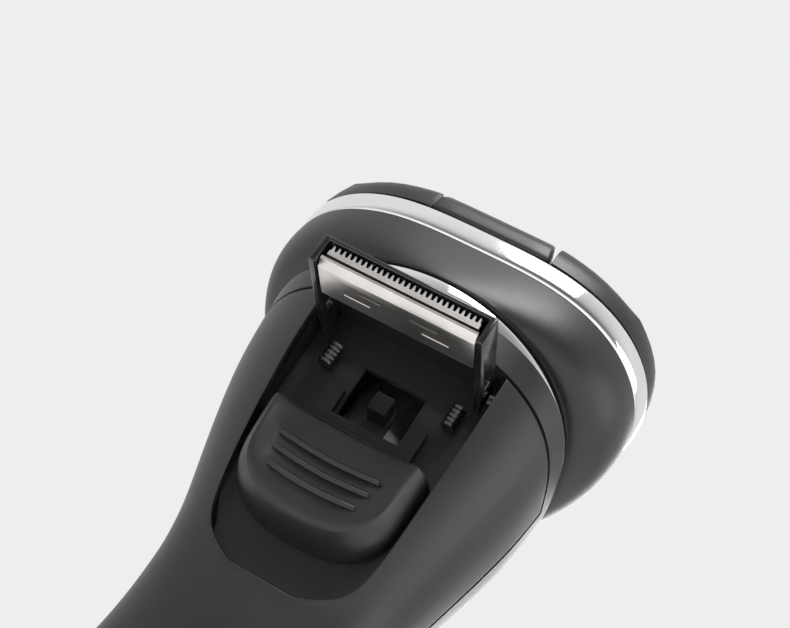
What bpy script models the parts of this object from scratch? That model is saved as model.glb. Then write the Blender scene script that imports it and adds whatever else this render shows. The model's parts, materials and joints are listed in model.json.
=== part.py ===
"""Rotary shaver with a pop-up trimmer: handle, head, drive train and trimmer as separate solids.

Frame: +Z up the handle to the head, -Y is the front (power button), +Y is the back (trimmer).
The origin lies on the flat base. Sizes below are millimetres; meshes are built in metres.
"""
import math

import bmesh
import bpy
from mathutils import Vector

MM = 0.001
GAP = 0.3
WALL = 1.6

# Handle: height, half width, back face, front face, forward tilt of the section in degrees.
HANDLE_STATIONS = (
    (0.0, 19.5, 10.0, -17.0, 0.0),
    (10.0, 22.0, 12.0, -19.0, 0.0),
    (30.0, 22.6, 12.1, -20.0, 0.0),
    (50.0, 22.1, 10.8, -19.5, 0.0),
    (64.0, 20.8, 9.9, -19.1, 0.0),
    (78.0, 18.9, 10.1, -19.7, 0.0),
    (92.0, 19.0, 13.6, -20.8, 2.0),
    (104.0, 22.2, 18.3, -23.6, 6.0),
    (116.0, 25.3, 21.4, -25.2, 12.0),
    (126.2, 26.5, 22.4, -25.7, 18.0),
)
BACK_POWER = 2.6
FRONT_POWER = 2.25
SEAM_STATION = 122.8
SEAM_ANGLE = 0.006
COLLAR_STATION = 126.2
HANDLE_ROWS = (6.3, 10.0, 18.0, 30.0, 42.0, 54.0, 64.0, 73.0, 80.0, 87.2)
WINDOW_ROWS = (89.0, 91.2, 95.0, 100.0, 105.0, 110.0, 116.0)

# Window in the rear cover for the slide and the trimmer: height and half width.
WINDOW = ((87.2, 5.5), (89.0, 9.0), (91.2, 11.4), (95.0, 12.7), (100.0, 13.4),
          (105.0, 13.9), (110.0, 14.4), (116.0, 14.9), (122.8, 15.0))

# Neck ring and head ring: centre y, centre z, tilt, radius, two-lobe and three-lobe terms, height.
NECK = {"y": -1.4, "z": 129.4, "tilt": 18.0, "r": 25.5, "two": 0.023, "three": 0.004}
HEAD = {"y": -6.2, "z": 145.2, "tilt": 12.0, "r": 30.0, "two": 0.075, "three": 0.065}
NECK_RING_HEIGHT = 2.6
HEAD_RING_HEIGHT = 3.9
LOOP_POINTS = 40

# Head levels, measured along the head's own axis from the top of its ring.
CHAMBER_FLOOR = -11.8
CHAMBER_UNDERSIDE = -13.0
GEAR_TOP = -14.4
GEAR_BOTTOM = -16.2
DECK_TOP = -17.0
DECK_BOTTOM = -18.4
MOTOR_TOP = -19.0
MOTOR_BOTTOM = -36.0
MOTOR_RADIUS = 7.5
BEZEL_BOTTOM = 0.7
BEZEL_TOP = 6.6
HEAD_WALL = 1.9
UNIT_RADIUS = 15.0
UNIT_ANGLES = {"right": 30.0, "left": 150.0, "front": 270.0}
COMB_RADIUS = 11.0
COMB_TOP = 8.0
COMB_HOLE_RADIUS = 12.4
HEAD_HINGE_V = 25.5

# Gears: one pinion on the motor turns three gears.
GEAR_MODULE = 1.0
PINION_TEETH = 14
GEAR_TEETH = 16

# Trimmer hinge and sizes; the trimmer stands straight out of the back.
HINGE_Y = 16.0
HINGE_Z = 126.0
TRIMMER_DROOP = 6.5
TRIMMER_LENGTH = 20.3
TRIMMER_HALF_WIDTH = 13.5
TRIMMER_HALF_DEPTH = 2.3
TRIMMER_WALL = 1.0
TRIMMER_LID = 0.65
TRIMMER_TEETH = 24

# Slide: it runs along a plane that leans back a little and starts below the window.
SLIDE_Y = 8.9
SLIDE_Z = 88.0
SLIDE_LEAN = 5.0
SLIDE_BOTTOM = 6.4
SLIDE_TOP = 22.6
SLIDE_SHOULDER = 12.35
FORK_HALF_WIDTH = 8.3

# Controls, inlet and what lies inside the handle.
BUTTON_Z = 84.0
BUTTON_RADIUS = 6.0
BUTTON_DEPTH = 3.6
SWITCH_FRONT = -15.1
LIGHT_Z = 68.0
LIGHT_RADIUS = 1.1
INLET_Y = -8.4
INLET_HALF = (5.4, 3.9)
INLET_WALL = 1.2
SCREW_X = 11.4
CELL_RADIUS = 7.0
CELL_Y = -3.4
CELL_BOTTOM = 17.0
CELL_TOP = 66.0
CHASSIS_HALF_WIDTH = 12.4
CHASSIS_WALL = 1.2
BAY_HALF_WIDTH = 15.6
BAY_WALL = 0.9
LEVER_Y = 9.05
LEVER_Z = 109.5
BLOCK_HALF_WIDTH = 10.5

FINISHES = {
    "black_matte": ((0.022, 0.022, 0.024), 0.48, 0.0),
    "black_gloss": ((0.012, 0.012, 0.013), 0.12, 0.0),
    "chrome": ((0.82, 0.82, 0.83), 0.08, 1.0),
    "steel": ((0.62, 0.60, 0.57), 0.28, 1.0),
    "dark_grey": ((0.05, 0.05, 0.052), 0.55, 0.0),
    "rubber": ((0.015, 0.015, 0.016), 0.8, 0.0),
    "white_plastic": ((0.75, 0.75, 0.73), 0.45, 0.0),
    "board_green": ((0.02, 0.16, 0.07), 0.5, 0.0),
    "cell_blue": ((0.04, 0.10, 0.32), 0.4, 0.0),
    "light_lens": ((0.25, 0.65, 0.35), 0.2, 0.0),
    "brass": ((0.72, 0.52, 0.22), 0.3, 1.0),
}


def clear_scene():
    """Remove every object of the scene that is open."""
    for thing in list(bpy.data.objects):
        bpy.data.objects.remove(thing, do_unlink=True)


def finish_material(part_name, finish):
    """One Principled material of its own for each part."""
    colour, roughness, metallic = FINISHES[finish]
    material = bpy.data.materials.new(part_name + "_finish")
    material.use_nodes = True
    shader = material.node_tree.nodes["Principled BSDF"]
    shader.inputs["Base Color"].default_value = (*colour, 1.0)
    shader.inputs["Roughness"].default_value = roughness
    shader.inputs["Metallic"].default_value = metallic
    return material


def empty_at(name, location, tilt=0.0, parent=None):
    """Axis or frame that parts hang from; tilt turns it about X."""
    frame = bpy.data.objects.new(name, None)
    frame.location = Vector(location) * MM
    frame.rotation_euler = (math.radians(tilt), 0.0, 0.0)
    frame.parent = parent
    bpy.context.scene.collection.objects.link(frame)
    return frame


def add_part(name, shape, finish, parent=None, origin=(0.0, 0.0, 0.0), guide=False):
    """Make an object from (points, faces) in millimetres, with its origin at origin."""
    points, faces = shape
    start = Vector(origin)
    mesh = bpy.data.meshes.new(name)
    mesh.from_pydata([(Vector(p) - start) * MM for p in points], [], faces)
    work = bmesh.new()
    work.from_mesh(mesh)
    bmesh.ops.remove_doubles(work, verts=work.verts, dist=1e-6)
    bmesh.ops.recalc_face_normals(work, faces=work.faces)
    work.to_mesh(mesh)
    work.free()
    mesh.shade_smooth()
    mesh.set_sharp_from_angle(angle=math.radians(32.0))
    part = bpy.data.objects.new(name, mesh)
    part.location = start * MM
    part.parent = parent
    bpy.context.scene.collection.objects.link(part)
    if guide:
        part.hide_render = True
        part.display_type = "WIRE"
    else:
        mesh.materials.append(finish_material(name, finish))
    return part


def cut(part, cutter, operation="DIFFERENCE"):
    """Boolean modifier with the exact solver."""
    step = part.modifiers.new(operation.lower() + "_" + cutter.name, "BOOLEAN")
    step.operation = operation
    step.object = cutter
    step.solver = "EXACT"


def box(low, high):
    """Box from its low and high corners."""
    points = [(x, y, z) for x in (low[0], high[0]) for y in (low[1], high[1]) for z in (low[2], high[2])]
    faces = [(0, 1, 3, 2), (4, 6, 7, 5), (0, 4, 5, 1), (2, 3, 7, 6), (0, 2, 6, 4), (1, 5, 7, 3)]
    return points, faces


def loft(loops, ring=False):
    """Skin equal loops of points; ring joins the last loop to the first, else both ends are capped."""
    count = len(loops[0])
    points = [p for loop in loops for p in loop]
    faces = []
    spans = len(loops) if ring else len(loops) - 1
    for i in range(spans):
        near = i * count
        far = ((i + 1) % len(loops)) * count
        for j in range(count):
            k = (j + 1) % count
            faces.append((near + j, near + k, far + k, far + j))
    if not ring:
        faces.append(tuple(range(count)))
        faces.append(tuple(range(len(points) - count, len(points))))
    return points, faces


def circle(radius, height, centre=(0.0, 0.0), count=24, start=0.0):
    """Level loop round a vertical axis."""
    turns = [start + 2.0 * math.pi * k / count for k in range(count)]
    return [(centre[0] + radius * math.cos(t), centre[1] + radius * math.sin(t), height) for t in turns]


def turned(profile, count=24, centre=(0.0, 0.0), ring=False):
    """Turn (radius, height) pairs round a vertical axis."""
    return loft([circle(r, h, centre, count) for r, h in profile], ring)


def rod_y(radius, low, high, x, z, count=20):
    """Round bar along Y."""
    flat = circle(radius, 0.0, (x, z), count)
    return loft([[(p[0], y, p[1]) for p in flat] for y in (low, high)])


def rod_x(radius, low, high, y, z, count=16):
    """Round bar along X."""
    flat = circle(radius, 0.0, (y, z), count)
    return loft([[(x, p[0], p[1]) for p in flat] for x in (low, high)])


def prism(outline, low, high):
    """Extrude a flat (x, y) outline from low to high in z."""
    return loft([[(x, y, z) for x, y in outline] for z in (low, high)])


def smooth_value(table, place, column):
    """Catmull-Rom value of one column of a table at a place along its first column."""
    last = len(table) - 1
    i = 0
    while i < last - 1 and place > table[i + 1][0]:
        i += 1
    x0, x1 = table[i][0], table[i + 1][0]
    y0, y1 = table[i][column], table[i + 1][column]
    before = table[max(i - 1, 0)]
    after = table[min(i + 2, last)]
    slope0 = (y1 - before[column]) / (x1 - before[0])
    slope1 = (after[column] - y0) / (after[0] - x0)
    span = x1 - x0
    t = (place - x0) / span
    return ((2 * t ** 3 - 3 * t ** 2 + 1) * y0 + (t ** 3 - 2 * t ** 2 + t) * span * slope0
            + (3 * t ** 2 - 2 * t ** 3) * y1 + (t ** 3 - t ** 2) * span * slope1)


def signed_power(value, power):
    """Power that keeps the sign."""
    return math.copysign(abs(value) ** power, value)


def handle_point(height, angle, inset=0.0):
    """Point of the handle's skin at a station height and an angle from +X."""
    half = smooth_value(HANDLE_STATIONS, height, 1) - inset
    back = smooth_value(HANDLE_STATIONS, height, 2) - inset
    front = smooth_value(HANDLE_STATIONS, height, 3) + inset
    tilt = math.radians(smooth_value(HANDLE_STATIONS, height, 4))
    middle = (back + front) / 2.0
    depth = (back - front) / 2.0
    power = BACK_POWER if math.sin(angle) > 0.0 else FRONT_POWER
    x = half * signed_power(math.cos(angle), 2.0 / power)
    q = depth * signed_power(math.sin(angle), 2.0 / power)
    return (x, middle + q, height + q * math.tan(tilt))


def window_angle(height, inset):
    """Angle at which the window's right edge crosses a station, at an inset from the skin."""
    half_window = smooth_value(WINDOW, max(height, WINDOW[0][0]), 1)
    half = smooth_value(HANDLE_STATIONS, height, 1) - inset
    return math.acos((half_window / half) ** (BACK_POWER / 2.0))


SIDE_COLUMNS = 5
WINDOW_COLUMNS = 6
FRONT_COLUMNS = 16


def back_angles(height, inset, margin=0.0):
    """Angles of the rear grid columns: right side, window and left side."""
    edge = window_angle(height, inset)
    right = [margin + (edge - margin) * k / SIDE_COLUMNS for k in range(SIDE_COLUMNS)]
    middle = [edge + (math.pi - 2.0 * edge) * k / WINDOW_COLUMNS for k in range(WINDOW_COLUMNS)]
    left = [math.pi - edge + (edge - margin) * k / SIDE_COLUMNS for k in range(SIDE_COLUMNS + 1)]
    return right + middle + left


def all_angles(height, inset):
    """Angles all the way round: the rear columns and then the front ones."""
    front = [math.pi + math.pi * k / FRONT_COLUMNS for k in range(1, FRONT_COLUMNS)]
    return back_angles(height, inset) + front


def skin_solid(rows, angles, keep, closed=True, outside=0.0, wall=WALL):
    """Solid sheet over the kept cells (row, column) of a grid on the handle's skin."""
    columns = len(angles(rows[0], 0.0))
    points = []
    for inset in (-outside, wall - outside):
        for height in rows:
            points += [handle_point(height, a, inset) for a in angles(height, inset)]
    layer = len(rows) * columns
    reach = columns if closed else columns - 1

    def corner(place, inner):
        return place[0] * columns + place[1] % columns + (layer if inner else 0)

    cells = [(i, j) for i in range(len(rows) - 1) for j in range(reach) if keep(i, j)]
    kept = set(cells)
    faces = []
    for i, j in cells:
        quad = [(i, j), (i, j + 1), (i + 1, j + 1), (i + 1, j)]
        faces.append(tuple(corner(p, False) for p in quad))
        faces.append(tuple(corner(p, True) for p in reversed(quad)))
        nexts = ((i - 1, j), (i, (j + 1) % columns), (i + 1, j), (i, (j - 1) % columns))
        for side, other in enumerate(nexts):
            if other not in kept:
                start, end = quad[side], quad[(side + 1) % 4]
                rim = (corner(end, False), corner(start, False), corner(start, True), corner(end, True))
                faces.append(rim)
    used = sorted({k for face in faces for k in face})
    place = {k: n for n, k in enumerate(used)}
    return [points[k] for k in used], [tuple(place[k] for k in face) for face in faces]


def core(inset, low=6.5, high=126.0):
    """Closed solid that fills the handle inside its wall."""
    count = 36
    rows = (low, 12.0, 24.0, 40.0, 56.0, 70.0, 82.0, 92.0, 100.0, 108.0, 116.0, 121.0, high)
    return loft([[handle_point(h, 2.0 * math.pi * k / count, inset) for k in range(count)] for h in rows])


def lobed(ring, angle, scale=1.0):
    """Radius of a lobed ring at an angle from +X."""
    swell = 1.0 + ring["two"] * math.cos(2.0 * angle) + ring["three"] * math.sin(3.0 * angle)
    return ring["r"] * scale * swell


def lobed_loop(ring, scale, height, inset=0.0, count=LOOP_POINTS):
    """Loop of a lobed ring in its own tilted frame."""
    loop = []
    for k in range(count):
        angle = 2.0 * math.pi * k / count
        radius = lobed(ring, angle, scale) - inset
        loop.append((radius * math.cos(angle), radius * math.sin(angle), height))
    return loop


def neck_in_head(point):
    """Carry a point from the neck's tilted frame to the head's tilted frame."""
    tilt = math.radians(NECK["tilt"])
    x, v, h = point
    y = NECK["y"] + v * math.cos(tilt) - h * math.sin(tilt) - HEAD["y"]
    z = NECK["z"] + v * math.sin(tilt) + h * math.cos(tilt) - HEAD["z"]
    lean = math.radians(HEAD["tilt"])
    return (x, y * math.cos(lean) + z * math.sin(lean), z * math.cos(lean) - y * math.sin(lean))


def bowl_point(angle, rise, inset=0.0):
    """Point of the head's bowl: rise runs from 0 at the neck ring to 1 at the head ring."""
    foot_radius = lobed(NECK, angle)
    foot = neck_in_head((foot_radius * math.cos(angle), foot_radius * math.sin(angle), GAP))
    top_radius = lobed(HEAD, angle, 0.984)
    top = (top_radius * math.cos(angle), top_radius * math.sin(angle))
    out = math.sin(rise * math.pi / 2.0)
    up = 1.0 - math.cos(rise * math.pi / 2.0)
    bulge = 1.0 + 0.02 * math.sin(math.pi * rise)
    x = (foot[0] + (top[0] - foot[0]) * out) * bulge
    v = (foot[1] + (top[1] - foot[1]) * out) * bulge
    h = foot[2] + (-HEAD_RING_HEIGHT - GAP - foot[2]) * up
    radius = math.hypot(x, v)
    factor = (radius - inset) / radius
    return (x * factor, v * factor, h)


def bowl_at(angle, height, inset):
    """Point of the bowl at a level of the head's frame."""
    low, high = 0.0, 1.0
    for _ in range(24):
        middle = (low + high) / 2.0
        if bowl_point(angle, middle)[2] < height:
            low = middle
        else:
            high = middle
    return bowl_point(angle, (low + high) / 2.0, inset)


def slide_half_width(along, inset):
    """Half width of the slide at a distance along its travel."""
    start = SLIDE_BOTTOM + inset
    if along <= start:
        return 0.0
    shoulder = SLIDE_SHOULDER - inset
    reach = min((along - start) / (9.0 - inset * 0.5), 1.0)
    flare = 0.9 * ((along - SLIDE_BOTTOM) / (SLIDE_TOP - SLIDE_BOTTOM)) ** 2
    return shoulder * (1.0 - (1.0 - reach) ** 2.6) ** (1.0 / 2.3) + flare


def slide_height(x, along):
    """Height of the slide's face over its running plane."""
    crown = ((6.4, 5.0), (9.0, 7.4), (12.0, 9.0), (15.0, 9.4), (18.0, 9.4), (22.6, 9.0))
    return smooth_value(crown, along, 1) - 1.1 * (x / 13.0) ** 2


def slide_loop(inset, drop=None, level=None):
    """Outline of the slide in (x, along, height)."""
    steps = 9
    side = []
    for k in range(steps + 1):
        along = SLIDE_BOTTOM + inset + (SLIDE_TOP - SLIDE_BOTTOM - inset) * (k / steps) ** 1.7
        side.append((slide_half_width(along, inset), along))
    outline = side + [(-x, a) for x, a in reversed(side[1:])]
    return [(x, a, level if level is not None else slide_height(x, a) - drop) for x, a in outline]


def gear_outline(teeth, phase, module=GEAR_MODULE):
    """Flat outline of a spur gear with straight-sided teeth."""
    pitch_radius = teeth * module / 2.0
    root = pitch_radius - 1.0 * module
    tip = pitch_radius + 0.8 * module
    step = 2.0 * math.pi / teeth
    outline = []
    for k in range(teeth):
        for radius, offset in ((root, -0.30), (tip, -0.13), (tip, 0.13), (root, 0.30)):
            angle = phase + (k + offset) * step
            outline.append((radius * math.cos(angle), radius * math.sin(angle)))
    return outline


def comb_outline(half_width, low, root, tip, teeth, fill=0.5):
    """Flat strip with a row of teeth along its far edge."""
    outline = [(-half_width, low), (half_width, low)]
    step = 2.0 * half_width / teeth
    for k in range(teeth):
        right = half_width - k * step
        left = right - step * fill
        outline += [(right, tip), (left, tip)]
        if k < teeth - 1:
            outline += [(left, root), (right - step, root)]
    if outline[-1][0] > -half_width:
        outline += [(outline[-1][0], root), (-half_width, root)]
    return outline


def build_casing():
    """Front shell with its collar, rear cover, front panel, neck ring and base."""
    rows = HANDLE_ROWS + WINDOW_ROWS + (SEAM_STATION, COLLAR_STATION)
    seam_row = len(rows) - 2
    window_row = len(HANDLE_ROWS) - 1
    back = 2 * SIDE_COLUMNS + WINDOW_COLUMNS

    def in_front(i, j):
        return j >= back or i >= seam_row

    def in_cover(i, j):
        return not (SIDE_COLUMNS <= j < SIDE_COLUMNS + WINDOW_COLUMNS and i >= window_row)

    front = add_part("front_shell", skin_solid(rows, all_angles, in_front), "black_matte")

    cover_rows = rows[:seam_row] + (SEAM_STATION - GAP,)
    rear_shape = skin_solid(cover_rows, lambda h, inset: back_angles(h, inset, SEAM_ANGLE), in_cover, closed=False)
    add_part("rear_cover", rear_shape, "black_matte")

    build_controls(front)


def build_controls(front):
    """Front panel with the power button and the charge light."""

    def panel_angles(_height, _inset):
        return [math.radians(270.0 + 7.0 * k) for k in range(-3, 4)]

    panel_rows = (26.0, 38.0, 50.0, 62.0, 74.0, 86.0, 96.0, 106.0)
    sheet = skin_solid(panel_rows, panel_angles, lambda i, j: True, closed=False, outside=1.0, wall=0.7)
    panel = add_part("front_panel", sheet, "black_gloss")
    hole_shape = rod_y(BUTTON_RADIUS + 0.4, -32.0, -12.0, 0.0, BUTTON_Z)
    hole = add_part("button_hole", hole_shape, None, guide=True)
    light_shape = rod_y(LIGHT_RADIUS + GAP, -32.0, -12.0, 0.0, LIGHT_Z, 12)
    light_hole = add_part("light_hole", light_shape, None, guide=True)
    for part in (front, panel):
        cut(part, hole)
        cut(part, light_hole)
    handle_front = handle_point(BUTTON_Z, math.radians(270.0))[1]
    button_empty = empty_at("button_axis", (0.0, handle_front, BUTTON_Z))
    add_part("power_button", rod_y(BUTTON_RADIUS, -2.0, BUTTON_DEPTH, 0.0, 0.0), "chrome", button_empty)
    light_front = handle_point(LIGHT_Z, math.radians(270.0))[1]
    lens = rod_y(LIGHT_RADIUS, light_front - 0.9, light_front + 2.4, 0.0, LIGHT_Z, 12)
    add_part("charge_light", lens, "light_lens")


def build_neck_ring():
    """Bright ring that closes the neck."""
    frame = empty_at("neck_frame", (0.0, NECK["y"], NECK["z"]), NECK["tilt"])
    loops = [lobed_loop(NECK, 0.974, -NECK_RING_HEIGHT), lobed_loop(NECK, 1.0, -0.6),
             lobed_loop(NECK, 0.997, 0.0), lobed_loop(NECK, 1.0, 0.0, 1.8),
             lobed_loop(NECK, 0.974, -NECK_RING_HEIGHT, 1.8)]
    add_part("neck_ring", loft(loops, ring=True), "chrome", frame)


def build_base():
    """Flat base cap with the charging inlet, its pins and two screws."""
    count = 36

    def level(height, inset):
        return [handle_point(max(height, 0.0), 2.0 * math.pi * k / count, inset) for k in range(count)]

    def at_height(loop, height):
        return [(x, y, height) for x, y, _ in loop]

    outer = [at_height(level(0.0, 1.4), 0.0), at_height(level(0.6, 0.5), 0.5), level(2.0, 0.0),
             level(6.0, 0.0)]
    inner = [level(6.0, WALL), level(2.4, WALL)]
    cap = add_part("base_cap", loft(outer + inner), "black_matte")
    wide, deep = INLET_HALF

    def inlet_box(margin, low, high):
        half, depth = wide + margin, deep + margin
        return box((-half, INLET_Y - depth, low), (half, INLET_Y + depth, high))

    slot = add_part("inlet_slot", inlet_box(0.4, -1.0, 4.0), None, guide=True)
    cut(cap, slot)
    socket = add_part("charge_inlet", inlet_box(0.0, 0.5, 13.0), "dark_grey")
    cavity = add_part("inlet_cavity", inlet_box(-INLET_WALL, -1.0, 11.6), None, guide=True)
    cut(socket, cavity)
    for side, sign in (("left", -1.0), ("right", 1.0)):
        pin = turned(((0.7, 6.6), (0.7, 11.3)), 10, (sign * 1.9, INLET_Y))
        add_part("inlet_pin_" + side, pin, "brass")
        place = (sign * SCREW_X, 2.0)
        well_shape = turned(((2.4, -1.0), (2.4, 1.0), (1.3, 1.05), (1.3, 4.0)), 14, place)
        well = add_part("screw_well_" + side, well_shape, None, guide=True)
        cut(cap, well)
        screw = turned(((2.1, 0.4), (2.1, 0.7), (1.0, 0.75), (1.0, 6.0)), 14, place)
        add_part("base_screw_" + side, screw, "steel")


def build_inside():
    """Chassis, cell, contacts, circuit board and switch between the shells."""
    half = CHASSIS_HALF_WIDTH
    inner = half - CHASSIS_WALL
    chassis = add_part("chassis", box((-half, -12.0, 14.0), (half, 2.0, 100.0)), "dark_grey")
    trough_shape = box((-inner, CHASSIS_WALL - 12.0, 12.0), (inner, 4.0, 102.0))
    trough = add_part("chassis_trough", trough_shape, None, guide=True)
    cut(chassis, trough)
    profile = ((CELL_RADIUS, CELL_BOTTOM), (CELL_RADIUS, CELL_TOP), (2.5, CELL_TOP + 0.05),
               (2.5, CELL_TOP + 1.2))
    add_part("battery_cell", turned(profile, 20, (0.0, CELL_Y)), "cell_blue")
    top = box((-4.0, CELL_Y - 4.0, CELL_TOP + 1.6), (4.0, CELL_Y + 4.0, CELL_TOP + 2.2))
    add_part("battery_contact_top", top, "brass")
    bottom = box((-5.0, CELL_Y - 4.0, CELL_BOTTOM - 1.1), (5.0, CELL_Y + 4.0, CELL_BOTTOM - 0.4))
    add_part("battery_contact_bottom", bottom, "brass")
    add_part("circuit_board", box((-9.0, -13.8, 26.0), (9.0, -12.4, 98.0)), "board_green")
    switch = box((-3.2, SWITCH_FRONT, BUTTON_Z - 3.0), (3.2, SWITCH_FRONT + 1.0, BUTTON_Z + 3.0))
    add_part("main_switch", switch, "white_plastic")


def build_bay(core_guide):
    """Tray behind the window that carries the slide and the trimmer."""
    lean = math.radians(SLIDE_LEAN)

    def wedge(half, low, high, depth, front):
        shift_low = SLIDE_Y + (low - SLIDE_Z) * math.tan(lean) + depth
        shift_high = SLIDE_Y + (high - SLIDE_Z) * math.tan(lean) + depth
        loops = []
        for z, y in ((low, shift_low), (high, shift_high)):
            loops.append([(-half, y, z), (half, y, z), (half, front, z), (-half, front, z)])
        return loft(loops)

    tray = add_part("trimmer_bay", wedge(BAY_HALF_WIDTH, 85.2, 130.0, -BAY_WALL, 40.0), "dark_grey")
    cut(tray, core_guide, "INTERSECT")
    pocket_shape = wedge(BAY_HALF_WIDTH - BAY_WALL, 86.2, 129.2, 0.0, 42.0)
    pocket = add_part("bay_pocket", pocket_shape, None, guide=True)
    cut(tray, pocket)
    port = add_part("lever_port", box((-5.2, 4.0, 114.4), (5.2, 16.0, 123.6)), None, guide=True)
    cut(tray, port)
    sockets = add_part("hinge_sockets", rod_x(1.35, -20.0, 20.0, HINGE_Y, HINGE_Z), None, guide=True)
    cut(tray, sockets)


def build_slide():
    """Thumb slide and the fork that it pushes up the bay."""
    frame = empty_at("slide_axis", (0.0, SLIDE_Y, SLIDE_Z))
    frame.rotation_euler = (math.radians(90.0 - SLIDE_LEAN), 0.0, 0.0)
    loops = [slide_loop(0.0, level=GAP), slide_loop(0.0, 2.6), slide_loop(1.7, 0.0), slide_loop(2.3, 0.0),
             slide_loop(4.5, 1.1)]
    turned_loops = [[(x, a, -n) for x, a, n in loop] for loop in loops]
    add_part("trimmer_slide", loft(turned_loops), "black_matte", frame)
    foot, crotch, tip = SLIDE_TOP + 0.2, SLIDE_TOP + 4.0, SLIDE_TOP + 7.9
    wide, narrow = FORK_HALF_WIDTH, FORK_HALF_WIDTH - 2.6
    bridge = [(-wide, foot), (wide, foot), (wide, tip), (narrow, tip), (narrow, crotch), (-narrow, crotch),
              (-narrow, tip), (-wide, tip)]
    add_part("slide_fork", prism(bridge, -1.3, -GAP), "dark_grey", frame)


def build_trimmer():
    """Folding trimmer: frame, steel plate, fixed comb, moving blade, springs and drive lever."""
    frame = empty_at("trimmer_axis", (0.0, HINGE_Y, HINGE_Z), -TRIMMER_DROOP)
    wide, deep, tip = TRIMMER_HALF_WIDTH, TRIMMER_HALF_DEPTH, TRIMMER_LENGTH
    cradle = add_part("trimmer_frame", box((-wide, -1.6, -deep), (wide, tip, deep)), "black_gloss", frame)
    clear = wide - TRIMMER_WALL
    channel = box((-clear, -6.0, -6.0), (clear, tip + 4.0, deep - TRIMMER_LID))
    inside = add_part("frame_channel", channel, None, frame, guide=True)
    cut(cradle, inside)
    notch = add_part("frame_notch", box((-clear, -6.0, 0.0), (clear, 4.5, 6.0)), None, frame, guide=True)
    cut(cradle, notch)
    slots = add_part("arm_slots", box((-20.0, 4.4, -1.0), (20.0, 7.2, 0.6)), None, frame, guide=True)
    cut(cradle, slots)
    for side, sign in (("left", -1.0), ("right", 1.0)):
        ends = sorted((sign * (wide + GAP), sign * 15.4))
        add_part("hinge_pin_" + side, rod_x(1.0, ends[0], ends[1], 0.0, 0.0, 12), "black_gloss", frame)
        coil = [(1.0 + 0.2 * (k % 2), -1.8 + 0.4 * k) for k in range(10)]
        spring_centre = (sign * 10.4, HINGE_Y - 2.2)
        points, faces = turned(coil, 12, spring_centre)
        raised = [(x, y, z + HINGE_Z - 4.2) for x, y, z in points]
        add_part("trimmer_spring_" + side, (raised, faces), "black_gloss")
    inner = clear - GAP
    rim = tip - 0.2
    plate = [(-2.1, rim - 8.2), (-2.1, rim - 1.0), (-1.0, rim), (-0.7, rim - 0.2), (-1.7, rim - 1.2),
             (-1.7, rim - 8.2)]
    add_part("trimmer_plate", loft([[(x, y, z) for z, y in plate] for x in (-inner, inner)]), "steel", frame)
    comb = comb_outline(inner - 0.4, tip - 7.4, tip - 1.5, tip - 0.4, TRIMMER_TEETH)
    add_part("trimmer_comb", prism(comb, -0.35, -0.05), "steel", frame)
    blade = comb_outline(inner - 1.6, tip - 6.9, tip - 1.8, tip - 0.8, TRIMMER_TEETH - 4)
    add_part("trimmer_blade", prism(blade, 0.2, 0.5), "steel", frame)
    pivot = empty_at("lever_axis", (0.0, LEVER_Y, LEVER_Z))
    arm = [(-2.6, -2.0), (2.6, -2.0), (1.8, 11.5), (-1.8, 11.5)]
    shape = loft([[(x, y, z) for x, z in arm] for y in (-0.3, 0.3)])
    lever = add_part("trimmer_lever", shape, "dark_grey", pivot)
    prong = add_part("lever_prong", box((-1.5, -0.2, 8.0), (1.5, 3.8, 11.2)), None, pivot, guide=True)
    cut(lever, prong, "UNION")


def build_head(head):
    """Bowl, ring, seal and release button of the head."""
    count = LOOP_POINTS
    angles = [2.0 * math.pi * k / count for k in range(count)]
    outer = [[bowl_point(a, rise) for a in angles] for rise in (0.0, 0.14, 0.3, 0.47, 0.64, 0.82, 1.0)]
    top = -HEAD_RING_HEIGHT - GAP
    inner = [[bowl_at(a, level, HEAD_WALL) for a in angles] for level in (top, -7.0, -9.5, CHAMBER_FLOOR)]
    hole = [circle(1.5, CHAMBER_FLOOR, count=count), circle(1.5, CHAMBER_UNDERSIDE, count=count)]
    below = []
    for a in angles:
        level = max(CHAMBER_UNDERSIDE, bowl_point(a, 0.0)[2] + 0.2)
        x, v, _ = bowl_at(a, level, HEAD_WALL)
        below.append((x, v, CHAMBER_UNDERSIDE))
    skirt = [bowl_point(a, 0.0, HEAD_WALL) for a in angles]
    shell = loft(outer + inner + hole + [below, skirt], ring=True)
    bowl = add_part("head_housing", shell, "black_matte", head)
    for name, turn in UNIT_ANGLES.items():
        x, v = unit_centre(turn)
        bore_shape = turned(((2.2, -15.0), (2.2, -9.0)), 17, (x, v))
        bore = add_part("spindle_bore_" + name, bore_shape, None, head, guide=True)
        cut(bowl, bore)
    window_shape = box((-5.0, -40.0, -10.2), (5.0, -20.0, -6.2))
    window = add_part("release_window", window_shape, None, head, guide=True)
    cut(bowl, window)
    add_part("head_release", box((-4.6, -30.6, -9.8), (4.6, -26.0, -6.6)), "dark_grey", head)
    ring = [lobed_loop(HEAD, 0.972, -HEAD_RING_HEIGHT), lobed_loop(HEAD, 0.992, -3.0),
            lobed_loop(HEAD, 1.0, 0.0), lobed_loop(HEAD, 1.0, 0.0, 2.0),
            lobed_loop(HEAD, 0.984, -HEAD_RING_HEIGHT, 2.0)]
    add_part("head_ring", loft(ring, ring=True), "chrome", head)
    seal = [lobed_loop(HEAD, 0.965, height, inset) for inset, height in
            ((1.3, -0.6), (1.3, 0.4), (2.6, 0.4), (2.6, -0.6))]
    add_part("head_seal", loft(seal, ring=True), "rubber", head)


def unit_centre(turn):
    """Centre of one shaving unit in the head's plane."""
    angle = math.radians(turn)
    return (UNIT_RADIUS * math.cos(angle), UNIT_RADIUS * math.sin(angle))


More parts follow.
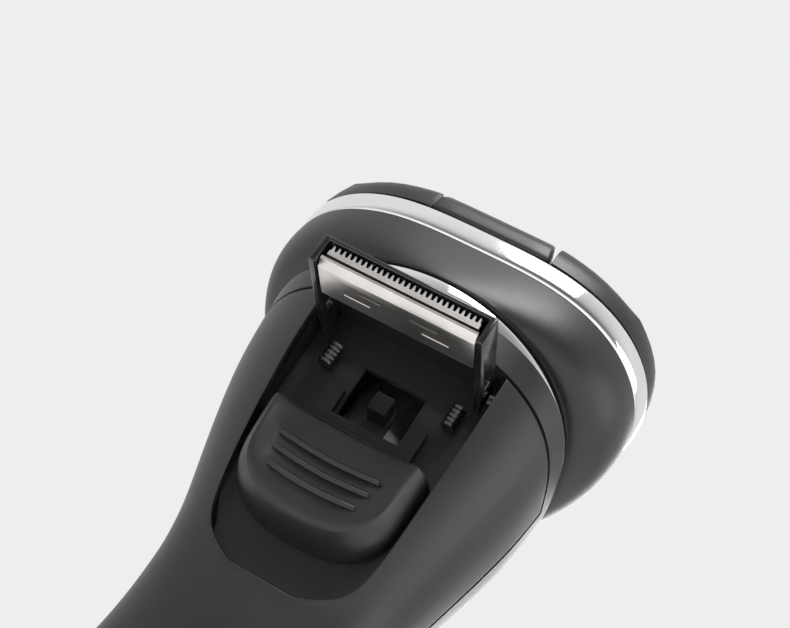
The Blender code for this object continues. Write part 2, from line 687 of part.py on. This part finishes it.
def build_bezel(head):
    """Frame over the shaving units, its hinge block and the plate that keeps the cutters in."""
    hinge = (0.0, HEAD_HINGE_V, BEZEL_BOTTOM)
    outer = [lobed_loop(HEAD, 0.985, BEZEL_BOTTOM), lobed_loop(HEAD, 0.995, 2.8),
             lobed_loop(HEAD, 0.978, 4.8), lobed_loop(HEAD, 0.912, BEZEL_TOP)]
    inner = [lobed_loop(HEAD, 0.985, BEZEL_BOTTOM, 1.6), lobed_loop(HEAD, 0.985, 3.6, 1.6),
             lobed_loop(HEAD, 0.88, 5.0)]
    bezel = add_part("head_bezel", loft(list(reversed(inner)) + outer), "black_matte", head, hinge)
    half = BLOCK_HALF_WIDTH
    gap_shape = box((-half - GAP, 19.6, -3.0), (half + GAP, 40.0, 9.0))
    block_gap = add_part("hinge_gap", gap_shape, None, head, guide=True)
    cut(bezel, block_gap)
    edge = [(19.9, BEZEL_BOTTOM), (25.4, BEZEL_BOTTOM), (25.7, 3.4), (24.4, 5.6), (19.9, 7.0)]
    block = []
    for side in (-1.0, 1.0):
        block.append([(side * (half - 0.18 * (h - BEZEL_BOTTOM)), v, h) for v, h in edge])
    add_part("head_hinge_block", loft(block), "black_matte", head, hinge)
    plate_shape = loft([lobed_loop(HEAD, 0.80, -5.6), lobed_loop(HEAD, 0.80, -4.4)])
    plate = add_part("retaining_plate", plate_shape, "white_plastic", head, hinge)
    for name, turn in UNIT_ANGLES.items():
        place = unit_centre(turn)
        hole = turned(((COMB_HOLE_RADIUS, 1.0), (COMB_HOLE_RADIUS, 10.0)), 32, place)
        opening = add_part("comb_opening_" + name, hole, None, head, guide=True)
        cut(bezel, opening)
        window = turned(((5.2, -9.0), (5.2, 0.0)), 20, place)
        socket = add_part("plate_opening_" + name, window, None, head, guide=True)
        cut(plate, socket)
        build_unit(head, name, turn)


def build_unit(head, name, turn):
    """One shaving unit: comb and rim in the bezel, cutter inside, spindle and gear below."""
    x, v = unit_centre(turn)
    frame = empty_at("unit_axis_" + name, (x, v, 0.0), 0.0, head)
    edge = COMB_RADIUS
    top = COMB_TOP
    comb = [(edge - 0.7, -1.2), (edge, -1.2), (edge, top - 1.2), (edge - 1.2, top - 0.4), (6.4, top),
            (5.8, top - 0.6), (3.0, top - 0.6), (2.4, top - 1.2), (5.2, top - 1.2), (edge - 1.6, top - 1.1),
            (edge - 0.7, top - 1.7)]
    add_part("shaving_comb_" + name, turned(comb, 32, ring=True), "steel", frame)
    rim = [(edge + 0.3, 1.8), (edge + 1.1, 1.8), (edge + 1.1, top - 1.0), (edge + 0.3, top - 0.7)]
    add_part("comb_rim_" + name, turned(rim, 32, ring=True), "chrome", frame)
    disc = top - 2.0
    cutter = ((1.6, -3.4), (2.6, -3.4), (2.8, disc - 1.2), (8.8, disc - 0.8), (8.8, disc), (1.6, disc))
    add_part("cutter_" + name, turned(cutter, 18, ring=True), "steel", frame)
    spindle = ((1.7, GEAR_TOP + GAP), (1.7, -6.0), (0.9, -5.6), (0.9, -2.0))
    add_part("drive_spindle_" + name, turned(spindle, 12), "white_plastic", frame)
    lead = turn / 360.0 * PINION_TEETH % 1.0
    phase = math.radians(turn + 180.0) + (lead - 0.5) * 2.0 * math.pi / GEAR_TEETH
    gear = prism(gear_outline(GEAR_TEETH, phase), GEAR_BOTTOM, GEAR_TOP)
    add_part("drive_gear_" + name, gear, "white_plastic", frame)


def build_drive(head):
    """Motor with its pinion and the deck under the gears."""
    bottom, top, wide, wall = MOTOR_BOTTOM, MOTOR_TOP, MOTOR_RADIUS, 0.9
    can = ((1.5, bottom), (wide - 0.6, bottom), (wide, bottom + 0.6), (wide, top - 0.6), (wide - 0.6, top),
           (1.5, top), (1.5, top - wall), (wide - wall, top - wall), (wide - wall, bottom + wall),
           (1.5, bottom + wall))
    add_part("motor_can", turned(can, 24, ring=True), "steel", head)
    rotor = ((0.9, bottom + 0.4), (0.9, bottom + 1.6), (6.1, bottom + 1.65), (6.1, top - 1.65),
             (0.9, top - 1.6), (0.9, GEAR_BOTTOM - GAP))
    add_part("motor_rotor", turned(rotor, 16), "steel", head)
    add_part("motor_pinion", prism(gear_outline(PINION_TEETH, 0.0), GEAR_BOTTOM, GEAR_TOP), "brass", head)
    deck = add_part("gear_deck", turned(((19.0, DECK_BOTTOM), (19.0, DECK_TOP)), 32), "dark_grey", head)
    bore = add_part("deck_bore", turned(((1.6, -24.0), (1.6, -10.0)), 12), None, head, guide=True)
    cut(deck, bore)


def main():
    """Build the whole shaver."""
    clear_scene()
    core_guide = add_part("inside_guide", core(WALL + 2.0 * GAP), None, guide=True)
    build_casing()
    build_neck_ring()
    build_base()
    build_inside()
    build_bay(core_guide)
    build_slide()
    build_trimmer()
    head = empty_at("head_frame", (0.0, HEAD["y"], HEAD["z"]), HEAD["tilt"])
    build_head(head)
    build_bezel(head)
    build_drive(head)


if __name__ == "__main__":
    main()
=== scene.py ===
"""Looks of the rotary shaver: fine casings, bright rings, shaving units, trimmer and slide."""
import json
import logging
import math
from dataclasses import dataclass, field
from enum import Enum
from typing import Callable, Optional, Sequence, Union

import bpy
from mathutils import Matrix, Vector


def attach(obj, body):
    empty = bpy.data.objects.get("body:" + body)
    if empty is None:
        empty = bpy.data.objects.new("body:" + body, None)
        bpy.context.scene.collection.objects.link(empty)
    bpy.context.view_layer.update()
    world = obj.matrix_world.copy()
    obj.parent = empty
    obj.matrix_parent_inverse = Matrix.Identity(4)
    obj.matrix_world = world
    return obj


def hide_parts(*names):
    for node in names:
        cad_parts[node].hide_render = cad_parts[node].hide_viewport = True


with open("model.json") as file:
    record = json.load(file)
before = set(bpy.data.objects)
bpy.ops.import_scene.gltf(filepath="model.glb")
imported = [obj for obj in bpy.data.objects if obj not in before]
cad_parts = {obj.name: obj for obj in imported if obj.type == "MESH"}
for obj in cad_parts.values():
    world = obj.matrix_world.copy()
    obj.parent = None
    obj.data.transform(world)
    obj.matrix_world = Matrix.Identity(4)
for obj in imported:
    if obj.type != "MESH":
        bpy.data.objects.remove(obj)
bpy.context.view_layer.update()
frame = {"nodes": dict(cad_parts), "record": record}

MM = 0.001
log = logging.getLogger("shaver")


# ---------------------------------------------------------------- shader tools

Value = Union[float, "Wire"]


class Wire:
    """A shader value that Python's own operators work on."""

    def __init__(self, bench: "Bench", socket: bpy.types.NodeSocket) -> None:
        """Keep the socket and the bench that it lies on."""
        self.bench = bench
        self.socket = socket

    def _join(self, operation: str, first: Value, second: Value) -> "Wire":
        """Return a Math node's result."""
        return self.bench.node("Math", {"operation": operation}, [first, second])

    def __add__(self, other: Value) -> "Wire":
        """Return self + other."""
        return self._join("ADD", self, other)

    __radd__ = __add__

    def __mul__(self, other: Value) -> "Wire":
        """Return self * other."""
        return self._join("MULTIPLY", self, other)

    __rmul__ = __mul__


class Bench:
    """One material's node tree, with its Principled shader."""

    def __init__(self, name: str) -> None:
        """Start an empty material of this name."""
        self.material = bpy.data.materials.new(name)
        self.material.use_nodes = True
        self.tree = self.material.node_tree
        self.shader = self.tree.nodes["Principled BSDF"]

    def node(self, kind: str, settings: Optional[dict] = None, inputs: object = None,
             output: object = 0) -> Wire:
        """Add a node.

        Args:
            kind: the node's type after "ShaderNode".
            settings: its own properties, set before its sockets.
            inputs: a list in socket order or a dict by socket name, of values and wires.
            output: name or number of the output to return.

        Returns:
            The chosen output as a wire.
        """
        made = self.tree.nodes.new("ShaderNode" + kind)
        for key, value in (settings or {}).items():
            setattr(made, key, value)
        pairs = inputs.items() if isinstance(inputs, dict) else enumerate(inputs or [])
        for key, value in pairs:
            self.feed(made.inputs[key], value)
        return Wire(self, made.outputs[output])

    def feed(self, socket: bpy.types.NodeSocket, value: object) -> None:
        """Link a wire to a socket, or set its plain value."""
        if isinstance(value, Wire):
            self.tree.links.new(value.socket, socket)
        else:
            socket.default_value = value

    def place(self) -> Wire:
        """Return the object coordinates, in metres."""
        return self.node("TexCoord", output="Object")

    def stretched(self, scale: tuple) -> Wire:
        """Return object coordinates scaled on each axis."""
        return self.node("Mapping", {}, {"Vector": self.place(), "Scale": scale})

    def noise(self, scale: float, detail: float = 2.0, vector: Optional[Wire] = None) -> Wire:
        """Return noise about 0.5; scale counts grains in a metre."""
        inputs = {"Vector": vector or self.place(), "Scale": scale, "Detail": detail}
        return self.node("TexNoise", {}, inputs)

    def blend(self, factor: Value, low: tuple, high: tuple) -> Wire:
        """Return a colour between low and high."""
        inputs = {0: factor, 6: (*low, 1.0), 7: (*high, 1.0)}
        return self.node("Mix", {"data_type": "RGBA"}, inputs, 2)

    def bump(self, height: Wire, strength: float, distance: float) -> None:
        """Feed the shader's normal from a height."""
        inputs = {"Strength": strength, "Distance": distance, "Height": height}
        self.feed(self.shader.inputs["Normal"], self.node("Bump", {}, inputs))

    def set(self, **values: object) -> None:
        """Set the shader's sockets; underscores stand for spaces."""
        for key, value in values.items():
            self.feed(self.shader.inputs[key.replace("_", " ")], value)


@dataclass(frozen=True)
class Moulded:
    """Moulded plastic with a fine grain."""

    name: str
    low: tuple
    high: tuple
    roughness: float
    grain: float = 3200.0
    depth: float = 0.00003
    coat: float = 0.0

    def build(self) -> bpy.types.Material:
        """Return the material."""
        bench = Bench(self.name)
        grain = bench.noise(self.grain, 3.0)
        cloud = bench.noise(55.0, 2.0)
        wear = bench.noise(420.0, 4.0)
        bench.set(Base_Color=bench.blend(cloud, self.low, self.high),
                  Roughness=self.roughness - 0.05 + 0.07 * wear + 0.05 * cloud,
                  Coat_Weight=self.coat, Coat_Roughness=0.12)
        bench.bump(grain, 0.35, self.depth)
        return bench.material


@dataclass(frozen=True)
class Plated:
    """Bright plating with faint long waves."""

    name: str
    low: tuple
    high: tuple
    roughness: float

    def build(self) -> bpy.types.Material:
        """Return the material."""
        bench = Bench(self.name)
        wave = bench.noise(38.0, 1.0)
        haze = bench.noise(600.0, 3.0)
        bench.set(Base_Color=bench.blend(wave, self.low, self.high), Metallic=1.0,
                  Roughness=self.roughness + 0.05 * haze * wave)
        bench.bump(wave, 0.25, 0.00025)
        return bench.material


@dataclass(frozen=True)
class Brushed:
    """Sheet metal brushed along X."""

    name: str
    low: tuple
    high: tuple
    roughness: float

    def build(self) -> bpy.types.Material:
        """Return the material."""
        bench = Bench(self.name)
        lines = bench.noise(1.0, 4.0, bench.stretched((160.0, 9000.0, 9000.0)))
        spots = bench.noise(260.0, 3.0)
        tone = bench.blend(spots * 0.6 + lines * 0.4, self.low, self.high)
        bench.set(Base_Color=tone, Metallic=1.0,
                  Roughness=self.roughness + 0.12 * lines + 0.06 * spots)
        bench.bump(lines, 0.2, 0.00003)
        return bench.material


class Finish(Enum):
    """The record's material slots and how each is made."""

    BLACK_MATTE = Moulded("satin_black", (0.0085, 0.0085, 0.009), (0.015, 0.015, 0.016), 0.40)
    BLACK_GLOSS = Moulded("polished_black", (0.006, 0.006, 0.0065), (0.01, 0.01, 0.011), 0.22,
                          2400.0, 0.00001, 0.4)
    CHROME = Plated("bright_plating", (0.72, 0.72, 0.73), (0.93, 0.93, 0.94), 0.045)
    STEEL = Brushed("brushed_steel", (0.50, 0.475, 0.45), (0.80, 0.775, 0.75), 0.24)
    DARK_GREY = Moulded("tray_plastic", (0.008, 0.008, 0.0085), (0.014, 0.014, 0.015), 0.45, 2600.0)
    RUBBER = Moulded("soft_seal", (0.006, 0.006, 0.006), (0.010, 0.010, 0.010), 0.75, 2000.0)
    WHITE_PLASTIC = Moulded("white_acetal", (0.55, 0.55, 0.53), (0.66, 0.66, 0.64), 0.42)
    BOARD_GREEN = Moulded("solder_mask", (0.010, 0.10, 0.04), (0.02, 0.15, 0.06), 0.38)
    CELL_BLUE = Moulded("cell_wrap", (0.02, 0.06, 0.20), (0.04, 0.09, 0.28), 0.3)
    LIGHT_LENS = Moulded("tinted_lens", (0.12, 0.40, 0.18), (0.2, 0.5, 0.26), 0.15,
                         900.0, 0.00001, 0.5)
    BRASS = Plated("bright_brass", (0.60, 0.42, 0.16), (0.78, 0.58, 0.26), 0.2)

    @property
    def slot(self) -> str:
        """The record's name for this finish."""
        return self.name.lower()


class Paintbox:
    """Materials made once and handed out by finish."""

    def __init__(self) -> None:
        """Make every finish."""
        self.made = {finish: finish.value.build() for finish in Finish}

    def dress(self, piece: bpy.types.Object, finish: Finish) -> None:
        """Give a piece one finish all over."""
        piece.data.materials.clear()
        piece.data.materials.append(self.made[finish])

    def dress_nodes(self) -> None:
        """Give every CAD node the finish of its slot, in its own material slots."""
        for entry in frame["record"]["subparts"]:
            node = frame["nodes"].get(entry["node"])
            if node is None:
                continue
            finish = Finish[entry["material_slot"].upper()]
            if not node.material_slots:
                node.data.materials.append(self.made[finish])
            for slot in node.material_slots:
                slot.material = self.made[finish]


# ---------------------------------------------------------------- modelling tools

FLAT_SIDED = ("trimmer_frame", "head_release", "head_hinge_block")
WELD_GAP = 0.000002
FLAT_ANGLE = math.radians(0.4)
QUAD_ANGLE = math.radians(60.0)
SURFACE_ANGLE = math.radians(40.0)
ROD_ANGLE = math.radians(50.0)


def only(piece: bpy.types.Object) -> None:
    """Select one object and make it active."""
    bpy.ops.object.select_all(action="DESELECT")
    piece.select_set(True)
    bpy.context.view_layer.objects.active = piece


def edit(piece: bpy.types.Object, *steps: Callable[[], object]) -> None:
    """Run operators on the whole mesh in edit mode."""
    only(piece)
    bpy.ops.object.mode_set(mode="EDIT")
    bpy.ops.mesh.select_all(action="SELECT")
    for step in steps:
        step()
    bpy.ops.object.mode_set(mode="OBJECT")


def modify(piece: bpy.types.Object, kind: str, **settings: object) -> None:
    """Add a modifier and apply it."""
    only(piece)
    step = piece.modifiers.new(kind.lower(), kind)
    for key, value in settings.items():
        setattr(step, key, value)
    bpy.ops.object.modifier_apply(modifier=step.name)


def soften(piece: bpy.types.Object, width: float, levels: int = 0, segments: int = 2,
           angle: float = 34.0) -> None:
    """Round the sharp edges, smooth the surface and shade it smooth."""
    modify(piece, "BEVEL", width=width * MM, segments=segments, limit_method="ANGLE",
           angle_limit=math.radians(angle), use_clamp_overlap=True)
    if levels:
        modify(piece, "SUBSURF", levels=levels, render_levels=levels)
    only(piece)
    bpy.ops.object.shade_smooth_by_angle(angle=SURFACE_ANGLE)


def settle(piece: bpy.types.Object) -> bpy.types.Object:
    """Put the object's own place into its mesh."""
    only(piece)
    bpy.ops.object.transform_apply(location=True, rotation=True, scale=True)
    return piece


def cad_copy(node: str, name: str) -> bpy.types.Object:
    """Return a merged, quad copy of a CAD node's mesh."""
    source = frame["nodes"][node]
    piece = bpy.data.objects.new(name, source.data.copy())
    bpy.context.scene.collection.objects.link(piece)
    piece.hide_render = False
    steps = [lambda: bpy.ops.mesh.remove_doubles(threshold=WELD_GAP)]
    if node in FLAT_SIDED:
        steps.append(lambda: bpy.ops.mesh.dissolve_limited(angle_limit=FLAT_ANGLE))
    steps.append(lambda: bpy.ops.mesh.tris_convert_to_quads(face_threshold=QUAD_ANGLE,
                                                            shape_threshold=QUAD_ANGLE))
    edit(piece, *steps)
    return piece


def cube(name: str, low: Sequence[float], high: Sequence[float]) -> bpy.types.Object:
    """Return a box between two corners, in millimetres."""
    middle = [(a + b) / 2.0 * MM for a, b in zip(low, high)]
    size = [(b - a) * MM for a, b in zip(low, high)]
    bpy.ops.object.select_all(action="DESELECT")
    bpy.ops.mesh.primitive_cube_add(size=1.0, location=middle, scale=size)
    piece = bpy.context.object
    piece.name = name
    return settle(piece)


def rod(name: str, points: Sequence[Vector], radius: float, sides: int = 3) -> bpy.types.Object:
    """Return a round bar along points, in metres, with closed ends."""
    bpy.ops.object.select_all(action="DESELECT")
    bpy.ops.curve.primitive_nurbs_path_add()
    curve = bpy.context.object
    curve.name = name
    data = curve.data
    data.splines.clear()
    spline = data.splines.new("POLY")
    spline.points.add(len(points) - 1)
    for knot, point in zip(spline.points, points):
        knot.co = (*point, 1.0)
    data.bevel_depth = radius * MM
    data.bevel_resolution = sides
    data.use_fill_caps = True
    data.use_path = False
    only(curve)
    bpy.ops.object.convert(target="MESH")
    piece = bpy.context.object
    piece.location = (0.0, 0.0, 0.0)
    only(piece)
    bpy.ops.object.shade_smooth_by_angle(angle=ROD_ANGLE)
    return piece


def reshape(piece: bpy.types.Object, move: Callable[[Vector], Vector]) -> None:
    """Carry every corner of a mesh through a function."""
    for corner in piece.data.vertices:
        corner.co = move(corner.co.copy())
    piece.data.update()


def join(pieces: Sequence[bpy.types.Object], name: str) -> bpy.types.Object:
    """Join pieces into one object."""
    bpy.ops.object.select_all(action="DESELECT")
    for piece in pieces:
        piece.select_set(True)
    bpy.context.view_layer.objects.active = pieces[0]
    bpy.ops.object.join()
    pieces[0].name = name
    return pieces[0]


def subtract(piece: bpy.types.Object, cutters: Sequence[bpy.types.Object]) -> None:
    """Cut pieces out of a piece and remove the cutters."""
    for cutter in cutters:
        modify(piece, "BOOLEAN", operation="DIFFERENCE", object=cutter, solver="EXACT")
        bpy.data.objects.remove(cutter, do_unlink=True)


@dataclass
class Kit:
    """Shared tools of the sub-assemblies."""

    paint: Paintbox
    made: list = field(default_factory=list)

    def fit(self, piece: bpy.types.Object, body: str, finish: Finish,
            *nodes: str) -> bpy.types.Object:
        """Dress a piece, ride it on a body and let it stand for CAD nodes.

        Args:
            piece: the finished piece.
            body: the CAD body that it moves with.
            finish: its finish.
            nodes: the CAD nodes that it replaces.

        Returns:
            The same piece.
        """
        self.paint.dress(piece, finish)
        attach(piece, body)
        if nodes:
            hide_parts(*nodes)
        self.made.append(piece)
        log.info("%s rides on %s with %d faces", piece.name, body, len(piece.data.polygons))
        return piece

    def refine(self, node: str, body: str, finish: Finish, width: float,
               levels: int) -> bpy.types.Object:
        """Replace a CAD node by a rounded, smoothed copy of itself."""
        piece = cad_copy(node, "fine_" + node)
        soften(piece, width, levels)
        return self.fit(piece, body, finish, node)


# ---------------------------------------------------------------- sub-assemblies

@dataclass
class Casing:
    """Front and rear shells, base and the bright neck ring."""

    kit: Kit
    edge: float = 0.28

    def build(self) -> None:
        """Make the casing's pieces."""
        for node in ("front_shell", "rear_cover"):
            self.kit.refine(node, "handle", Finish.BLACK_MATTE, self.edge, 2)
        self.kit.refine("base_cap", "handle", Finish.BLACK_MATTE, self.edge, 1)
        self.kit.refine("front_panel", "handle", Finish.BLACK_GLOSS, 0.2, 2)
        self.kit.refine("power_button", "button", Finish.CHROME, 0.5, 0)
        self.kit.refine("neck_ring", "handle", Finish.CHROME, 0.35, 2)


@dataclass
class Head:
    """Bowl, rings, bezel and shaving units."""

    kit: Kit
    tilt: float = 12.0
    centre: tuple = (0.0, -6.2, 145.2)
    unit_radius: float = 15.0
    unit_angles: dict = field(
        default_factory=lambda: {"right": 30.0, "left": 150.0, "front": 270.0})
    slots: int = 30
    slot_low: tuple = (6.9, -0.16, 5.6)
    slot_high: tuple = (9.9, 0.16, 9.0)

    def matrix(self) -> Matrix:
        """Return the head's frame, in millimetres."""
        lean = Matrix.Rotation(math.radians(self.tilt), 4, "X")
        return Matrix.Translation(Vector(self.centre)) @ lean

    def build(self) -> None:
        """Make the head's pieces."""
        self.kit.refine("head_housing", "handle", Finish.BLACK_MATTE, 0.25, 2)
        self.kit.refine("head_ring", "handle", Finish.CHROME, 0.35, 2)
        self.kit.refine("head_bezel", "shaving_head", Finish.BLACK_MATTE, 0.4, 1)
        self.kit.refine("head_hinge_block", "shaving_head", Finish.BLACK_MATTE, 0.6, 1)
        self.kit.refine("head_release", "release", Finish.BLACK_GLOSS, 0.4, 1)
        for name, turn in self.unit_angles.items():
            self.kit.refine("comb_rim_" + name, "shaving_head", Finish.CHROME, 0.2, 1)
            self.comb(name, turn)

    def comb(self, name: str, turn: float) -> None:
        """Cut the slots of one shaving comb."""
        piece = cad_copy("shaving_comb_" + name, "slotted_comb_" + name)
        soften(piece, 0.15)
        angle = math.radians(turn)
        place = self.matrix() @ Matrix.Translation((self.unit_radius * math.cos(angle),
                                                    self.unit_radius * math.sin(angle), 0.0))
        tools = []
        for k in range(self.slots):
            tool = cube("slot_tool", self.slot_low, self.slot_high)
            spin = Matrix.Rotation(2.0 * math.pi * k / self.slots, 4, "Z")
            reshape(tool, lambda p, s=spin: (place @ s @ (p / MM)) * MM)
            tools.append(tool)
        subtract(piece, [join(tools, "slot_tools")])
        self.kit.fit(piece, "comb_" + name, Finish.STEEL, "shaving_comb_" + name)


@dataclass
class Trimmer:
    """Pop-up trimmer: frame, plate, teeth and the blade behind them."""

    kit: Kit
    hinge: tuple = (0.0, 16.0, 126.0)
    droop: float = 6.5
    length: float = 20.3
    half_width: float = 13.5
    wall: float = 1.0
    plate_depth: float = 8.2
    plate_lip: float = 1.2
    plate_rise: float = 0.75
    slot_rows: tuple = ((4.1, -5.5), (2.3, -3.3))
    slot_length: float = 4.2
    slot_half: float = 0.26
    teeth: int = 28
    tooth_share: float = 0.27
    strip_depth: float = 0.35

    def matrix(self) -> Matrix:
        """Return the trimmer's own frame, in millimetres."""
        lean = Matrix.Rotation(math.radians(-self.droop), 4, "X")
        return Matrix.Translation(Vector(self.hinge)) @ lean

    def seat(self, piece: bpy.types.Object) -> bpy.types.Object:
        """Carry a piece from the trimmer's own frame to its place."""
        place = self.matrix()
        reshape(piece, lambda p: (place @ (p / MM)) * MM)
        return piece

    @staticmethod
    def taper(corner: Vector, middle: float) -> Vector:
        """Narrow a tooth towards its point, about its own middle in metres."""
        share = 1.3 - 0.5 * corner.z / MM
        return Vector((middle + (corner.x - middle) * share, corner.y, corner.z))

    def build(self) -> None:
        """Make the trimmer's pieces."""
        self.kit.refine("trimmer_frame", "trimmer", Finish.BLACK_GLOSS, 0.22, 0)
        self.plate()
        self.comb()

    def plate(self) -> None:
        """Bent steel plate with two pairs of staggered slots, over the frame's dark inner shelf."""
        inner = self.half_width - self.wall - 0.3
        rim = self.length - 0.2
        bend, rise = rim - self.plate_lip, self.plate_rise
        piece = cube("slotted_plate", (-inner, rim - self.plate_depth, -2.1), (inner, rim, -1.7))
        edit(piece, lambda: bpy.ops.mesh.bisect(plane_co=(0.0, bend * MM, 0.0),
                                                plane_no=(0.0, 1.0, 0.0)))
        reshape(piece, lambda p: p + Vector((0.0, 0.0, max(p.y - bend * MM, 0.0) * rise)))
        tools = []
        for sign in (-1.0, 1.0):
            for start, row in self.slot_rows:
                low, high = sorted((sign * start, sign * (start + self.slot_length)))
                tools.append(cube("slot_tool", (low, rim + row - self.slot_half, -4.0),
                                  (high, rim + row + self.slot_half, 0.0)))
        subtract(piece, [join(tools, "slot_tools")])
        soften(piece, 0.08, 0, 1, 30.0)
        self.kit.fit(self.seat(piece), "trimmer", Finish.STEEL, "trimmer_plate")
        shelf = cube("frame_shelf", (-inner, rim - self.plate_depth, -1.5),
                     (inner, rim - 1.6, -1.3))
        self.kit.fit(self.seat(shelf), "trimmer", Finish.BLACK_GLOSS)

    def comb(self) -> None:
        """Bright strip with fine teeth along its upper edge, inside the frame's mouth."""
        inner = self.half_width - self.wall - 0.7
        tip = self.length - 0.4
        root = tip - self.strip_depth
        pieces = [cube("comb_strip", (-inner, root, -0.3), (inner, tip, 0.55))]
        pieces.append(cube("comb_web", (-inner, tip - 3.0, -0.3), (inner, tip - 0.3, -0.05)))
        step = 2.0 * inner / self.teeth
        for k in range(self.teeth):
            middle = -inner + (k + 0.5) * step
            half = step * self.tooth_share
            tooth = cube("tooth", (middle - half, root, 0.5), (middle + half, tip, 1.35))
            reshape(tooth, lambda p, m=middle * MM: self.taper(p, m))
            pieces.append(tooth)
        piece = join(pieces, "toothed_comb")
        soften(piece, 0.05, 0, 1)
        self.kit.fit(self.seat(piece), "trimmer", Finish.STEEL, "trimmer_comb")


@dataclass
class Slide:
    """Thumb slide with three curved ribs."""

    kit: Kit
    start: tuple = (0.0, 8.9, 88.0)
    lean: float = 5.0
    floor: float = 8.1
    ribs: tuple = ((7.9, 17.3), (7.5, 15.0), (6.9, 12.5))
    rib_radius: float = 0.48
    rib_steps: int = 24

    def matrix(self) -> Matrix:
        """Return the slide's frame: x across, y along the travel, z outwards, in millimetres."""
        turn = Matrix.Rotation(math.radians(90.0 - self.lean), 4, "X")
        flip = Matrix.Diagonal((1.0, 1.0, -1.0, 1.0))
        return Matrix.Translation(Vector(self.start)) @ turn @ flip

    def build(self) -> None:
        """Make the slide and its ribs."""
        self.kit.refine("trimmer_slide", "slide", Finish.BLACK_MATTE, 0.35, 2)
        place = self.matrix()
        for k, (half, along) in enumerate(self.ribs):
            points = []
            for n in range(self.rib_steps + 1):
                t = -1.0 + 2.0 * n / self.rib_steps
                sag = 0.25 * abs(t) ** 6
                spot = Vector((half * t, along + 0.6 * t * t, self.floor - sag))
                points.append((place @ spot) * MM)
            rib = rod("slide_rib_%d" % (k + 1), points, self.rib_radius, 3)
            self.kit.fit(rib, "slide", Finish.BLACK_MATTE)


@dataclass
class Studio:
    """Floor, soft lights, sky and camera."""

    place: tuple = (-51.49, 187.80, 26.97)
    aim: tuple = (3.65, 21.06, 128.75)
    roll: float = -36.1
    lens: float = 63.8
    sky_far: float = 0.85
    sky_near: float = 0.12
    sky_seen: float = 0.855

    def build(self) -> None:
        """Set the whole studio."""
        self.floor()
        self.sky()
        self.camera()
        self.lamp("key_light", (-30.0, 330.0, 480.0), 0.24, 2.4)
        self.lamp("side_light", (-420.0, 60.0, 160.0), 0.30, 0.5)
        self.lamp("front_light", (0.0, -420.0, 260.0), 0.35, 1.2)

    def floor(self) -> None:
        """Plain pale floor."""
        bpy.ops.object.select_all(action="DESELECT")
        bpy.ops.mesh.primitive_plane_add(size=6.0)
        floor = bpy.context.object
        floor.name = "floor"
        bench = Bench("pale_floor")
        tone = bench.noise(3.0)
        bench.set(Base_Color=bench.blend(tone, (0.80, 0.80, 0.80), (0.84, 0.84, 0.84)),
                  Roughness=0.7)
        floor.data.materials.append(bench.material)

    def sky(self) -> None:
        """Pale sky: even for the camera, darker on the camera's side for what it lights."""
        world = bpy.data.worlds.new("studio_sky")
        world.use_nodes = True
        bpy.context.scene.world = world
        tree = world.node_tree
        toward = (Vector(self.place) - Vector(self.aim)).normalized()
        where = tree.nodes.new("ShaderNodeTexCoord")
        facing = tree.nodes.new("ShaderNodeVectorMath")
        facing.operation = "DOT_PRODUCT"
        facing.inputs[1].default_value = toward
        tree.links.new(where.outputs["Generated"], facing.inputs[0])
        shade = tree.nodes.new("ShaderNodeMapRange")
        shade.interpolation_type = "SMOOTHSTEP"
        spans = {"From Min": -0.1, "From Max": 0.85,
                 "To Min": self.sky_far, "To Max": self.sky_near}
        for name, value in spans.items():
            shade.inputs[name].default_value = value
        tree.links.new(facing.outputs["Value"], shade.inputs["Value"])
        path = tree.nodes.new("ShaderNodeLightPath")
        mix = tree.nodes.new("ShaderNodeMix")
        mix.inputs["B"].default_value = self.sky_seen
        tree.links.new(path.outputs["Is Camera Ray"], mix.inputs["Factor"])
        tree.links.new(shade.outputs["Result"], mix.inputs["A"])
        tree.links.new(mix.outputs["Result"], tree.nodes["Background"].inputs["Color"])

    def lamp(self, name: str, place: tuple, size: float, power: float) -> None:
        """Add a soft square lamp that faces the head."""
        bpy.ops.object.select_all(action="DESELECT")
        bpy.ops.object.light_add(type="AREA", location=[v * MM for v in place])
        lamp = bpy.context.object
        lamp.name = name
        lamp.data.size = size
        lamp.data.energy = power
        ray = Vector(self.aim) - Vector(place)
        lamp.rotation_euler = ray.to_track_quat("-Z", "Y").to_euler()

    def camera(self) -> None:
        """Near camera that looks up at the back of the head."""
        place, aim = Vector(self.place) * MM, Vector(self.aim) * MM
        back = (place - aim).normalized()
        right = Vector((0.0, 0.0, 1.0)).cross(back).normalized()
        up = back.cross(right)
        roll = math.radians(self.roll)
        turned_up = up * math.cos(roll) + right * math.sin(roll)
        turned_right = turned_up.cross(back)
        bpy.ops.object.select_all(action="DESELECT")
        bpy.ops.object.camera_add()
        camera = bpy.context.object
        camera.name = "view_camera"
        camera.data.lens = self.lens
        camera.data.clip_start = 0.01
        turn = Matrix((turned_right, turned_up, back)).transposed().to_4x4()
        camera.matrix_world = Matrix.Translation(place) @ turn
        bpy.context.scene.camera = camera
        bpy.context.scene.view_settings.view_transform = "Standard"


def main() -> None:
    """Build every sub-assembly in order."""
    logging.basicConfig(level=logging.INFO, format="%(name)s: %(message)s")
    Studio().build()
    paint = Paintbox()
    paint.dress_nodes()
    kit = Kit(paint)
    for part in (Casing(kit), Head(kit), Trimmer(kit), Slide(kit)):
        part.build()
    log.info("%d pieces made", len(kit.made))


if __name__ == "__main__":
    main()
